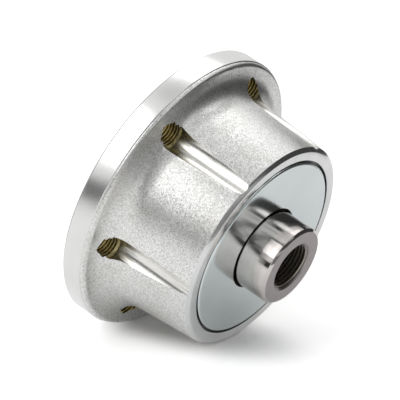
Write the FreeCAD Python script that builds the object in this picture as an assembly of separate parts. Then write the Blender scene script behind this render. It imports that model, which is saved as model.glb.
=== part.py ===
import FreeCAD, Part
import math
import os

"""Agricultural disc hub bearing, in millimetres.

A cast flanged housing turns on a double-row angular contact ball bearing round a stub shaft. The disc
is bolted to the flat back face of the flange, and the arm is bolted into the tapped end of the shaft.
The origin is the centre of the flange's back face and +Z runs along the shaft, out of the nose.
"""

# Bearing cartridge
BEARING_BORE = 35.0
BEARING_SECTION = 18.5
RING_CHAMFER = 0.6
BALL_RATIO = 0.5149
BALLS_PER_ROW = 12
ROW_GAP = 3.75
CONTACT_ANGLE = 30.0
GROOVE_RATIO = 0.52
OUTER_CENTRE_LAND_RATIO = 0.22
OUTER_END_LAND_RELIEF = 0.15
INNER_SHOULDER_RATIO = 0.23
INNER_CENTRE_LAND_HEIGHT = 0.4
BALL_CLEARANCE = 0.05

# Cages
CAGE_CLEARANCE = 0.4
CAGE_BACK = 1.1
CAGE_PRONG = 2.6
CAGE_POCKET_CLEARANCE = 0.15

# Seals of the bearing itself
BEARING_SEAL_THICKNESS = 0.8
BEARING_SEAL_INSET = 0.3
BEARING_SEAL_GROOVE = 0.7
BEARING_SEAL_GAP = 0.4

# Cap on the disc side, with its O-ring
CAP_STEP = 2.0
CAP_RECESS = 0.6
CAP_WALL = 1.5
CAP_SKIRT = 4.8
CAP_CORNER_RADIUS = 2.0
O_RING_SECTION = 2.0
MOUTH_CHAMFER = 0.5

# Lock nut and tab washer
NUT_CAP_CLEARANCE = 1.3
THREAD_BEYOND_NUT = 0.35
NUT_THREAD_STEP = 2.5
NUT_THREAD_CHAMFER = 0.8
NUT_WALL = 7.5
NUT_HEIGHT = 7.0
NUT_SLOT_COUNT = 4
NUT_SLOT_WIDTH = 5.0
NUT_SLOT_DEPTH = 2.0
NUT_CHAMFER = 0.6
WASHER_THICKNESS = 1.25
WASHER_SETBACK = 1.5
WASHER_TAB_COUNT = 12
WASHER_TAB_WIDTH = 4.2
WASHER_TAB_LENGTH = 3.0
WASHER_KEY_DEPTH = 1.4
WASHER_KEY_ROOT = 1.0

# Circlip that holds the bearing in the housing
CIRCLIP_THICKNESS = 2.5
CIRCLIP_GROOVE_DEPTH = 1.5
CIRCLIP_WIDTH = 4.2
CIRCLIP_LUG_RADIUS = 3.2
CIRCLIP_LUG_HOLE = 2.5
CIRCLIP_OPENING = 16.0

# Shaft
SHAFT_SHOULDER_STEP = 3.5
STUB_STEP = 1.0
STUB_LENGTH = 15.6
STUB_CHAMFER = 1.0
RELIEF_DEPTH = 0.4
RELIEF_RUN = 0.7
RELIEF_SINK = 1.2
SHAFT_TAP_DRILL = 18.5
SHAFT_TAP_DEPTH = 35.0
SHAFT_MOUTH_CHAMFER = 1.15

# Cassette seal on the arm side
SHOULDER_WALL = 1.5
SEAL_CASE_WALL = 1.2
SEAL_CASE_HEIGHT = 6.0
SLEEVE_WALL = 1.0
SLEEVE_OVERHANG = 1.0
LIP_SPAN = 7.0
LIP_GAP = 0.12
LIP_THICKNESS = 0.7

# Shield that closes the nose
SHIELD_POCKET_STEP = 2.2
SHIELD_POCKET_DEPTH = 1.8
SHIELD_SEAL_GAP = 0.3
SHIELD_GAP = 0.9
SHIELD_THICKNESS = 1.5
SHIELD_PROUD = 0.3
SHIELD_EDGE_RADIUS = 0.9
SHIELD_SKIRT = 0.3
SHIELD_SHAFT_GAP = 0.9

# Housing, outside
NOSE_WALL = 5.3
NOSE_CHAMFER_WIDTH = 1.6
NOSE_CHAMFER_HEIGHT = 1.2
DRAFT_ANGLE = 5.0
FLANGE_OVERHANG = 15.0
RIM_HEIGHT = 8.7
FLANGE_CORNER_RADIUS = 2.0
BACK_EDGE_CHAMFER = 0.6
BLEND_RADIUS = 10.0

# Tapped bolt holes, each opened out by a clearance drill that runs along the body as a flute
BOLT_COUNT = 6
BOLT_EDGE_DISTANCE = 10.3
BOLT_TAP_DRILL = 8.75
BOLT_HOLE_RISE = 2.9
BOLT_HOLE_CHAMFER = 1.0
CLEARANCE_DRILL = 10.5
DRILL_POINT_ANGLE = 118.0

# Fits
SEAT_CLEARANCE = 0.02
AXIAL_CLEARANCE = 0.1
SAME_POINT = 1e-7

# Radii that follow from the sizes above
seat_radius = BEARING_BORE / 2
bearing_radius = seat_radius + BEARING_SECTION
pitch_radius = (seat_radius + bearing_radius) / 2
ball_diameter = BEARING_SECTION * BALL_RATIO
ball_radius = ball_diameter / 2
inner_shoulder = pitch_radius - ball_radius + INNER_SHOULDER_RATIO * ball_diameter
inner_centre_land = pitch_radius - ball_radius + INNER_CENTRE_LAND_HEIGHT
outer_end_land = pitch_radius + ball_radius + OUTER_END_LAND_RELIEF
outer_centre_land = pitch_radius + ball_radius - OUTER_CENTRE_LAND_RATIO * ball_diameter
cap_radius = bearing_radius + CAP_STEP
nut_thread_radius = seat_radius - NUT_THREAD_STEP
nut_radius = nut_thread_radius + NUT_WALL
shoulder_radius = seat_radius + SHAFT_SHOULDER_STEP
stub_radius = seat_radius - STUB_STEP
sleeve_radius = shoulder_radius + SEAT_CLEARANCE + SLEEVE_WALL
seal_web_radius = sleeve_radius + LIP_SPAN
sleeve_flange_radius = seal_web_radius + SLEEVE_OVERHANG
shield_pocket_radius = bearing_radius + SHIELD_POCKET_STEP
shield_radius = shield_pocket_radius - SHIELD_GAP
nose_radius = shield_pocket_radius + NOSE_WALL
flange_radius = nose_radius + FLANGE_OVERHANG
bolt_circle_radius = flange_radius - BOLT_EDGE_DISTANCE

# Heights that follow, from the disc side to the arm side
cap_skirt_end = CAP_RECESS + CAP_SKIRT
cap_seat_depth = cap_skirt_end + O_RING_SECTION
thread_end = CAP_RECESS + CAP_WALL + NUT_CAP_CLEARANCE
nut_face = thread_end + THREAD_BEYOND_NUT
washer_face = nut_face + NUT_HEIGHT
bearing_start = washer_face + WASHER_THICKNESS
circlip_start = bearing_start - CIRCLIP_THICKNESS
row_spacing = ball_diameter + ROW_GAP
bearing_seal_room = BEARING_SEAL_THICKNESS + BEARING_SEAL_INSET
bearing_width = row_spacing + ball_diameter + 2 * (CAGE_BACK + CAGE_CLEARANCE + bearing_seal_room)
bearing_end = bearing_start + bearing_width
bearing_middle = bearing_start + bearing_width / 2
seal_pocket_floor = bearing_end + SHOULDER_WALL
shield_pocket_floor = seal_pocket_floor + SEAL_CASE_HEIGHT + SHIELD_SEAL_GAP
housing_length = shield_pocket_floor + SHIELD_POCKET_DEPTH
nose_edge = housing_length - NOSE_CHAMFER_HEIGHT
shield_top = housing_length + SHIELD_PROUD
shield_seat = shield_top - SHIELD_THICKNESS
shaft_end = shield_seat + STUB_LENGTH
flange_face = RIM_HEIGHT + FLANGE_CORNER_RADIUS
bolt_hole_end = flange_face + BOLT_HOLE_RISE

draft = math.radians(DRAFT_ANGLE)
contact = math.radians(CONTACT_ANGLE)
half_drill_point = math.radians(DRILL_POINT_ANGLE / 2)

AXIS = FreeCAD.Vector(0, 0, 1)
ORIGIN = FreeCAD.Vector(0, 0, 0)


def section_point(point):
    """Turns a (radius, height) pair into a point of the section plane."""
    return FreeCAD.Vector(point[0], 0, point[1])


def polar(centre, radius, degrees):
    """Gives the (radius, height) pair at an angle on a circle in the section plane."""
    turn = math.radians(degrees)
    return centre[0] + radius * math.cos(turn), centre[1] + radius * math.sin(turn)


def turned(start, *legs):
    """Turns a closed section about the axis.

    Each leg is a (radius, height) pair that a straight edge runs to, or two such pairs: a point that
    an arc passes through and the point where it ends.
    """
    edges = []
    here = start
    for leg in (*legs, start):
        is_arc = isinstance(leg[0], tuple)
        end = leg[1] if is_arc else leg
        if math.dist(here, end) < SAME_POINT:
            continue
        if is_arc:
            curve = Part.Arc(section_point(here), section_point(leg[0]), section_point(end))
        else:
            curve = Part.LineSegment(section_point(here), section_point(end))
        edges.append(curve.toShape())
        here = end
    face = Part.Face(Part.Wire(edges))
    return face.revolve(ORIGIN, AXIS, 360)


def drilled(radius, low, high, x=0.0, y=0.0):
    """Gives the cylinder that a drill removes between two heights."""
    return Part.makeCylinder(radius, high - low, FreeCAD.Vector(x, y, low), AXIS)


def cone(low_radius, high_radius, low, height, x):
    """Gives the cone that a countersink or a drill's point removes, set off along X."""
    return Part.makeCone(low_radius, high_radius, height, FreeCAD.Vector(x, 0, low), AXIS)


def washer(inside, outside, low, high):
    """Gives a plain flat ring."""
    return drilled(outside, low, high).cut(drilled(inside, low, high))


def around(shape, count):
    """Gives copies of a shape, spaced evenly round the axis."""
    copies = []
    for index in range(count):
        copy = shape.copy()
        copy.rotate(ORIGIN, AXIS, index * 360.0 / count)
        copies.append(copy)
    return copies


def block(low, high):
    """Gives a box between two corners."""
    size = [b - a for a, b in zip(low, high)]
    return Part.makeBox(*size, FreeCAD.Vector(*low))


def body_radius(height):
    """Radius of the drafted body at a height."""
    return nose_radius + (nose_edge - height) * math.tan(draft)


def fitting_blend():
    """Radius of the blend between flange and body, limited by the room on the flange's face."""
    room = flange_radius - FLANGE_CORNER_RADIUS - body_radius(flange_face)
    return min(BLEND_RADIUS, room * math.tan((math.pi / 2 + draft) / 2))


def bolt_hole():
    """Everything that is cut for one bolt: the tapped hole, its chamfer and the drill's flute."""
    x = bolt_circle_radius
    tapped = BOLT_TAP_DRILL / 2
    flute = CLEARANCE_DRILL / 2
    cone_height = (flute - tapped) / math.tan(half_drill_point)
    hole = drilled(tapped, 0, bolt_hole_end, x)
    mouth = cone(tapped + BOLT_HOLE_CHAMFER, tapped, 0, BOLT_HOLE_CHAMFER, x)
    point = cone(tapped, flute, bolt_hole_end, cone_height, x)
    run_out = drilled(flute, bolt_hole_end + cone_height, housing_length + flute, x)
    return hole.fuse([mouth, point, run_out])


def housing():
    """The cast and machined housing: flange, drafted body, bolt holes and the seats inside it."""
    corner = (flange_radius - FLANGE_CORNER_RADIUS, RIM_HEIGHT)
    blend_radius = fitting_blend()
    blend_height = flange_face + blend_radius
    blend = (body_radius(blend_height) + blend_radius / math.cos(draft), blend_height)
    groove = bearing_radius + CIRCLIP_GROOVE_DEPTH
    groove_start = circlip_start - AXIAL_CLEARANCE
    solid = turned(
        (flange_radius - BACK_EDGE_CHAMFER, 0),
        (flange_radius, BACK_EDGE_CHAMFER),
        (flange_radius, RIM_HEIGHT),
        (polar(corner, FLANGE_CORNER_RADIUS, 45), polar(corner, FLANGE_CORNER_RADIUS, 90)),
        (blend[0], flange_face),
        (
            polar(blend, blend_radius, 225 + DRAFT_ANGLE / 2),
            polar(blend, blend_radius, 180 + DRAFT_ANGLE),
        ),
        (nose_radius, nose_edge),
        (nose_radius - NOSE_CHAMFER_WIDTH, housing_length),
        (shield_pocket_radius, housing_length),
        (shield_pocket_radius, shield_pocket_floor),
        (bearing_radius, shield_pocket_floor),
        (bearing_radius, seal_pocket_floor),
        (seal_web_radius, seal_pocket_floor),
        (seal_web_radius, bearing_end),
        (bearing_radius, bearing_end),
        (bearing_radius, bearing_start),
        (groove, bearing_start),
        (groove, groove_start),
        (bearing_radius, groove_start),
        (bearing_radius, cap_seat_depth),
        (cap_radius, cap_seat_depth),
        (cap_radius, MOUTH_CHAMFER),
        (cap_radius + MOUTH_CHAMFER, 0),
    )
    return solid.cut(around(bolt_hole(), BOLT_COUNT))


def row_heights():
    """Heights of the ball centres, with the side that each row's outer end faces."""
    return {
        "front": (bearing_middle + row_spacing / 2, 1),
        "rear": (bearing_middle - row_spacing / 2, -1),
    }


def race(height, side, outward):
    """The ring-shaped groove that a row runs in, as a solid to cut from a ring.

    The groove is a little wider than the ball, and its centre is set off along the contact line, so
    that the ball meets it at the contact angle with the running clearance.
    """
    groove = ball_diameter * GROOVE_RATIO
    offset = groove - ball_radius - BALL_CLEARANCE
    centre_radius = pitch_radius - outward * offset * math.cos(contact)
    centre_height = height + outward * side * offset * math.sin(contact)
    return Part.makeTorus(centre_radius, groove, FreeCAD.Vector(0, 0, centre_height), AXIS)


def outer_ring():
    """The one-piece outer ring of the bearing, with both raceways and the seats of its seals."""
    outside = bearing_radius - SEAT_CLEARANCE
    front = row_heights()["front"][0]
    rear = row_heights()["rear"][0]
    ring = turned(
        (outer_end_land, bearing_start),
        (outside - RING_CHAMFER, bearing_start),
        (outside, bearing_start + RING_CHAMFER),
        (outside, bearing_end - RING_CHAMFER),
        (outside - RING_CHAMFER, bearing_end),
        (outer_end_land, bearing_end),
        (outer_end_land, front),
        (outer_centre_land, front),
        (outer_centre_land, rear),
        (outer_end_land, rear),
    )
    cuts = [race(height, side, 1) for height, side in row_heights().values()]
    for low in bearing_seal_heights().values():
        cuts.append(drilled(outer_end_land + BEARING_SEAL_GROOVE, low, low + BEARING_SEAL_THICKNESS))
    return ring.cut(cuts)


def bearing_seal_heights():
    """Lower face of each seal disc of the bearing."""
    return {
        "front": bearing_end - bearing_seal_room,
        "rear": bearing_start + BEARING_SEAL_INSET,
    }


def inner_ring(name):
    """One half of the split inner ring."""
    height, side = row_heights()[name]
    end = bearing_middle + side * bearing_width / 2
    bore = seat_radius + SEAT_CLEARANCE
    chamfer = side * RING_CHAMFER
    ring = turned(
        (bore, bearing_middle),
        (inner_centre_land, bearing_middle),
        (inner_centre_land, height),
        (inner_shoulder, height),
        (inner_shoulder, end - chamfer),
        (inner_shoulder - RING_CHAMFER, end),
        (bore + RING_CHAMFER, end),
        (bore, end - chamfer),
    )
    return ring.cut(race(height, side, -1))


def bearing_seal(name):
    """One seal disc of the bearing, held in the outer ring and clear of the inner one."""
    low = bearing_seal_heights()[name]
    outside = outer_end_land + BEARING_SEAL_GROOVE - SEAT_CLEARANCE
    inside = inner_shoulder + BEARING_SEAL_GAP
    return washer(inside, outside, low, low + BEARING_SEAL_THICKNESS)


def ball(name, index):
    """One ball of a row."""
    height = row_heights()[name][0]
    sphere = Part.makeSphere(ball_radius, FreeCAD.Vector(pitch_radius, 0, height))
    sphere.rotate(ORIGIN, AXIS, index * 360.0 / BALLS_PER_ROW)
    return sphere


def cage(name):
    """A moulded crown cage: a ring on the outer side of the row, with a prong between every two balls."""
    height, side = row_heights()[name]
    inside = inner_shoulder + CAGE_CLEARANCE
    outside = outer_centre_land - CAGE_CLEARANCE
    back = height + side * (ball_radius + CAGE_BACK)
    tip = height - side * CAGE_PRONG
    ring = washer(inside, outside, min(back, tip), max(back, tip))
    pocket = Part.makeSphere(ball_radius + CAGE_POCKET_CLEARANCE, FreeCAD.Vector(pitch_radius, 0, height))
    return ring.cut(around(pocket, BALLS_PER_ROW))


def bearing_circlip():
    """The internal circlip under the bearing, open on one side, with a pierced lug at each end."""
    outside = bearing_radius + CIRCLIP_GROOVE_DEPTH - AXIAL_CLEARANCE
    inside = bearing_radius - CIRCLIP_WIDTH
    half = CIRCLIP_OPENING / 2
    ring = washer(inside, outside, circlip_start, bearing_start)
    ring = ring.cut(block((-half, 0, circlip_start), (half, outside, bearing_start)))
    lug_y = inside - CIRCLIP_LUG_RADIUS / 2
    lugs = []
    holes = []
    for side in (-1, 1):
        x = side * (half + CIRCLIP_LUG_RADIUS)
        lugs.append(drilled(CIRCLIP_LUG_RADIUS, circlip_start, bearing_start, x, lug_y))
        holes.append(drilled(CIRCLIP_LUG_HOLE / 2, circlip_start, bearing_start, x, lug_y))
    return ring.fuse(lugs).cut(holes).removeSplitter()


def end_cap():
    """The pressed steel cap in the back of the housing."""
    outside = cap_radius - SEAT_CLEARANCE
    inside = outside - CAP_WALL
    plate = CAP_RECESS + CAP_WALL
    bend = (outside - CAP_CORNER_RADIUS, CAP_RECESS + CAP_CORNER_RADIUS)
    inner_bend = CAP_CORNER_RADIUS - CAP_WALL
    return turned(
        (0, CAP_RECESS),
        (bend[0], CAP_RECESS),
        (polar(bend, CAP_CORNER_RADIUS, -45), (outside, bend[1])),
        (outside, cap_skirt_end),
        (inside, cap_skirt_end),
        (inside, bend[1]),
        (polar(bend, inner_bend, -45), (bend[0], plate)),
        (0, plate),
    )


def end_cap_o_ring():
    """The O-ring between the cap's skirt and the step behind it."""
    section = O_RING_SECTION / 2
    centre = FreeCAD.Vector(0, 0, cap_skirt_end + section)
    return Part.makeTorus(cap_radius - section - SEAT_CLEARANCE, section - SEAT_CLEARANCE, centre, AXIS)


def seal_case():
    """The steel case of the cassette seal, pressed into the nose."""
    outside = bearing_radius - SEAT_CLEARANCE
    top = seal_pocket_floor + SEAL_CASE_HEIGHT
    web_top = seal_pocket_floor + SEAL_CASE_WALL
    return turned(
        (seal_web_radius, seal_pocket_floor),
        (outside, seal_pocket_floor),
        (outside, top),
        (outside - SEAL_CASE_WALL, top),
        (outside - SEAL_CASE_WALL, web_top),
        (seal_web_radius, web_top),
    )


def seal_lips():
    """The rubber of the cassette seal: two lips towards the sleeve and one towards its flange."""
    touch = sleeve_radius + LIP_GAP
    floor = seal_pocket_floor
    base = floor + SEAL_CASE_WALL
    skin = base + LIP_THICKNESS
    flange_gap = shield_seat - SLEEVE_WALL - LIP_GAP
    root = touch + 2 * LIP_THICKNESS
    middle = (root + seal_web_radius) / 2
    return turned(
        (seal_web_radius - SEAT_CLEARANCE, floor),
        (seal_web_radius - SEAT_CLEARANCE, skin),
        (middle + LIP_THICKNESS, skin),
        (middle + 2 * LIP_THICKNESS, flange_gap),
        (middle + LIP_THICKNESS, flange_gap),
        (middle - LIP_THICKNESS, skin),
        (root + LIP_THICKNESS, skin),
        (touch, skin + 2 * LIP_THICKNESS),
        (touch, skin + LIP_THICKNESS),
        (root, base),
        (touch, floor + LIP_THICKNESS),
        (touch, floor),
    )


def wear_sleeve():
    """The sleeve that the seal runs on, with the flange that the shield lies on."""
    bore = shoulder_radius + SEAT_CLEARANCE
    flange_floor = shield_seat - SLEEVE_WALL
    return turned(
        (bore, seal_pocket_floor),
        (sleeve_radius, seal_pocket_floor),
        (sleeve_radius, flange_floor),
        (sleeve_flange_radius, flange_floor),
        (sleeve_flange_radius, shield_seat),
        (bore, shield_seat),
    )


def seal_shield():
    """The bright steel shield in the nose, with a rolled edge and a short skirt."""
    edge = (shield_radius - SHIELD_EDGE_RADIUS, shield_top - SHIELD_EDGE_RADIUS)
    skirt_end = shield_seat - SHIELD_SKIRT
    hole = stub_radius + SHIELD_SHAFT_GAP
    return turned(
        (hole, shield_seat),
        (shield_radius - SHIELD_THICKNESS, shield_seat),
        (shield_radius - SHIELD_THICKNESS, skirt_end),
        (shield_radius, skirt_end),
        (shield_radius, edge[1]),
        (polar(edge, SHIELD_EDGE_RADIUS, 45), (edge[0], shield_top)),
        (hole, shield_top),
    )


def shaft():
    """The stub shaft: nut thread, bearing seat, seal shoulder and the stub with its tapped end."""
    drill = SHAFT_TAP_DRILL / 2
    drill_floor = shaft_end - SHAFT_TAP_DEPTH
    drill_tip = drill_floor - drill / math.tan(half_drill_point)
    relief = stub_radius - RELIEF_DEPTH
    relief_floor = shield_seat - RELIEF_SINK
    relief_end = shield_seat + RELIEF_RUN
    relief_outside = stub_radius + SHIELD_SHAFT_GAP
    seat_start = bearing_start + RING_CHAMFER
    bar = turned(
        (0, thread_end),
        (nut_thread_radius - NUT_THREAD_CHAMFER, thread_end),
        (nut_thread_radius, thread_end + NUT_THREAD_CHAMFER),
        (nut_thread_radius, seat_start),
        (seat_radius, seat_start),
        (seat_radius, bearing_end),
        (shoulder_radius, bearing_end),
        (shoulder_radius, shield_seat),
        (relief_outside, shield_seat),
        (relief_outside, relief_floor),
        (relief, relief_floor),
        (relief, relief_end),
        (stub_radius, relief_end + RELIEF_DEPTH),
        (stub_radius, shaft_end - STUB_CHAMFER),
        (stub_radius - STUB_CHAMFER, shaft_end),
        (drill + SHAFT_MOUTH_CHAMFER, shaft_end),
        (drill, shaft_end - SHAFT_MOUTH_CHAMFER),
        (drill, drill_floor),
        (0, drill_tip),
    )
    half = WASHER_TAB_WIDTH / 2
    keyway_floor = nut_thread_radius - WASHER_KEY_DEPTH - AXIAL_CLEARANCE
    return bar.cut(block((-half, keyway_floor, thread_end), (half, seat_radius, bearing_start)))


def lock_washer():
    """The tab washer: its key sits in the shaft's slot, and one tab is bent into a slot of the nut."""
    bore = nut_thread_radius + SEAT_CLEARANCE
    outside = nut_radius - WASHER_SETBACK
    low, high = washer_face, bearing_start
    half = WASHER_TAB_WIDTH / 2
    key_half = half - AXIAL_CLEARANCE
    key_low = nut_thread_radius - WASHER_KEY_DEPTH
    key = block((-key_half, key_low, low), (key_half, bore + WASHER_KEY_ROOT, high))
    reach = outside + WASHER_TAB_LENGTH
    flat_tab = block((outside - WASHER_THICKNESS, -half, low), (reach, half, high))
    tabs = around(flat_tab, WASHER_TAB_COUNT)[1:]
    bend = nut_radius - NUT_SLOT_DEPTH + AXIAL_CLEARANCE
    bent_tab = block((bend, -half, low - WASHER_TAB_LENGTH), (bend + WASHER_THICKNESS, half, high))
    return washer(bore, outside, low, high).fuse([key, bent_tab, *tabs]).removeSplitter()


def lock_nut():
    """The slotted round nut that clamps the inner rings."""
    bore = nut_thread_radius + SEAT_CLEARANCE
    ring = turned(
        (bore + NUT_CHAMFER, nut_face),
        (nut_radius - NUT_CHAMFER, nut_face),
        (nut_radius, nut_face + NUT_CHAMFER),
        (nut_radius, washer_face - NUT_CHAMFER),
        (nut_radius - NUT_CHAMFER, washer_face),
        (bore + NUT_CHAMFER, washer_face),
        (bore, washer_face - NUT_CHAMFER),
        (bore, nut_face + NUT_CHAMFER),
    )
    half = NUT_SLOT_WIDTH / 2
    slot = block((nut_radius - NUT_SLOT_DEPTH, -half, nut_face), (nut_radius + half, half, washer_face))
    return ring.cut(around(slot, NUT_SLOT_COUNT))


def all_parts():
    """Every separate piece by its name."""
    parts = {
        "housing": housing(),
        "outer_ring": outer_ring(),
        "bearing_circlip": bearing_circlip(),
        "end_cap": end_cap(),
        "end_cap_o_ring": end_cap_o_ring(),
        "seal_case": seal_case(),
        "seal_lips": seal_lips(),
        "wear_sleeve": wear_sleeve(),
        "seal_shield": seal_shield(),
        "shaft": shaft(),
        "lock_washer": lock_washer(),
        "lock_nut": lock_nut(),
    }
    for name in row_heights():
        parts[f"inner_ring_{name}"] = inner_ring(name)
        parts[f"bearing_seal_{name}"] = bearing_seal(name)
        parts[f"cage_{name}"] = cage(name)
        for index in range(BALLS_PER_ROW):
            parts[f"ball_{name}_{index + 1:02d}"] = ball(name, index)
    return parts


def main():
    """Writes one STEP file for each piece."""
    os.makedirs("parts", exist_ok=True)
    for name, shape in all_parts().items():
        shape.exportStep(f"parts/{name}.step")
        print(f"{name}: {len(shape.Solids)} solid, {shape.Volume:.0f} mm3, valid {shape.isValid()}")


main()
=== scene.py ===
"""Looks of an agricultural disc hub bearing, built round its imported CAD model.

The hub leans on its flange and on the edge of its nose, on a white table in a soft white studio.
"""

import logging
import math
from collections.abc import Callable
from dataclasses import dataclass, field
from enum import Enum, IntEnum
from typing import Any

import bmesh
import bpy
from mathutils import Matrix, Vector


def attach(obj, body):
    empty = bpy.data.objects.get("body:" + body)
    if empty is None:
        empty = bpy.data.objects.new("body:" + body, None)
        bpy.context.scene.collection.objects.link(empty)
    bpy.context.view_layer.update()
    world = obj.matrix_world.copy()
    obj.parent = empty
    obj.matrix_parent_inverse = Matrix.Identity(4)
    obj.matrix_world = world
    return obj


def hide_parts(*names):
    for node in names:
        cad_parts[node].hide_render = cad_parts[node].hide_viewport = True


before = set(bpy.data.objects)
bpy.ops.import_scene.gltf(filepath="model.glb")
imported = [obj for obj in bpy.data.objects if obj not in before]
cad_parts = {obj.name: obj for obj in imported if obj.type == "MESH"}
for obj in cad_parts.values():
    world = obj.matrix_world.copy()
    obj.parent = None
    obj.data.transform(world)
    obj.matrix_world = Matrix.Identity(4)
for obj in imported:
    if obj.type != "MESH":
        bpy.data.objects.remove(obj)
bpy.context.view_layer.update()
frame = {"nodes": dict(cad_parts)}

log = logging.getLogger("disc_hub")

MM = 0.001
AXIS = Vector((0, 0, 1))
ROUND_STEPS = 192
DRILL_STEPS = 72
FILLET_DEGREES = 12
FILLET_STEPS_LEAST = 3
MERGE = 1e-4
NEAR = 0.01
SHARP_ANGLE = math.radians(28)
# Values of a pattern that count as its darkest and its lightest.
PATTERN_ENDS = (0.3, 0.7)
# Radians that Blender's wave texture turns over one unit.
WAVE_RADIANS = 20

Tree = bpy.types.NodeTree
Socket = bpy.types.NodeSocket


class Body(Enum):
    """The bodies that new pieces ride on."""

    HUB = "hub"
    AXLE = "stub_axle"


class Slot(Enum):
    """Names of material slots, handed with the new pieces but not read."""

    IRON = "blasted_iron"
    GROUND = "ground_steel"
    PLATED = "plated_steel"


class Way(Enum):
    """The way that the lines of a cutting tool run."""

    ROUND_AXIS = "RINGS"
    ALONG_AXIS = "BANDS"


class HousingFace(IntEnum):
    """The surfaces of the housing, by material number."""

    BLASTED = 0
    RIM = 1
    FACED = 2
    BORED = 3


class DrillFace(IntEnum):
    """The surfaces that a bolt hole's clearance drill leaves, by material number."""

    FLUTE = 0
    POINT = 1


class ShaftFace(IntEnum):
    """The surfaces of the shaft, by material number."""

    GROUND = 0
    TURNED_END = 1
    TAPPED = 2
    RELIEF = 3


class ThreadFace(IntEnum):
    """The surfaces of a cut thread, by material number."""

    CREST = 0
    FLANK = 1
    ROOT = 2


def linear(hex_colour: str) -> tuple[float, float, float, float]:
    """Turns an sRGB hex colour into the linear one that Blender's sockets take.

    Args:
        hex_colour: colour such as "#c8c8c6".

    Returns:
        Linear red, green, blue and an alpha of 1.
    """
    values = [int(hex_colour[at : at + 2], 16) / 255 for at in (1, 3, 5)]
    red, green, blue = (v / 12.92 if v <= 0.04045 else ((v + 0.055) / 1.055) ** 2.4 for v in values)
    return red, green, blue, 1.0


def add(tree: Tree, kind: str, inputs: dict[Any, Any] | None = None, **settings: Any) -> bpy.types.Node:
    """Adds a node with its settings, and sets or links its inputs.

    Args:
        tree: tree that gets the node.
        kind: type of the node, without its ShaderNode in front.
        inputs: value to set or socket to link, by the input's name or number.
        settings: properties of the node.

    Returns:
        The node.
    """
    node = tree.nodes.new("ShaderNode" + kind)
    for name, value in settings.items():
        setattr(node, name, value)
    for name, value in (inputs or {}).items():
        if isinstance(value, bpy.types.NodeSocket):
            tree.links.new(value, node.inputs[name])
        else:
            node.inputs[name].default_value = value
    return node


def new_tree(name: str) -> tuple[bpy.types.Material, Tree]:
    """Makes an empty node material.

    Args:
        name: name of the real finish.

    Returns:
        The material and its node tree.
    """
    material = bpy.data.materials.new(name)
    material.use_nodes = True
    material.node_tree.nodes.clear()
    return material, material.node_tree


@dataclass(frozen=True)
class Grain:
    """Small hollows or grains all over a surface."""

    size: float
    depth: float
    contrast: float = 0.0
    detail: float = 2.0
    fineness: float = 0.6


@dataclass(frozen=True)
class Facets:
    """Tiny facets that tilt every way, as shot leaves on iron."""

    size: float
    tilt: float
    contrast: float


@dataclass(frozen=True)
class ToolLines:
    """Fine lines that a cutting or grinding tool leaves."""

    spacing: float
    depth: float
    way: Way = Way.ROUND_AXIS
    contrast: float = 0.0
    waver: float = 1.5
    waver_detail: float = 2.0
    waver_scale: float = 0.3


@dataclass(frozen=True)
class Clouding:
    """Slow changes over a surface, from handling, oil or the blasting pattern."""

    size: float
    colour: str
    amount: float
    roughness_change: float = 0.0
    detail: float = 3.0
    fineness: float = 0.55
    ends: tuple[float, float] = (0.35, 0.7)


@dataclass(frozen=True)
class Smear:
    """Oil drawn along the axis in streaks, thick at one height and gone at another."""

    thick: float
    gone: float
    colour: str
    amount: float
    width: float = 1.4
    # Scale of the pattern along the axis, which draws the streaks out.
    shortening: float = 0.12
    thickness: float = 0.5
    detail: float = 3.0
    ends: tuple[float, float] = (0.55, 0.85)


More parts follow.
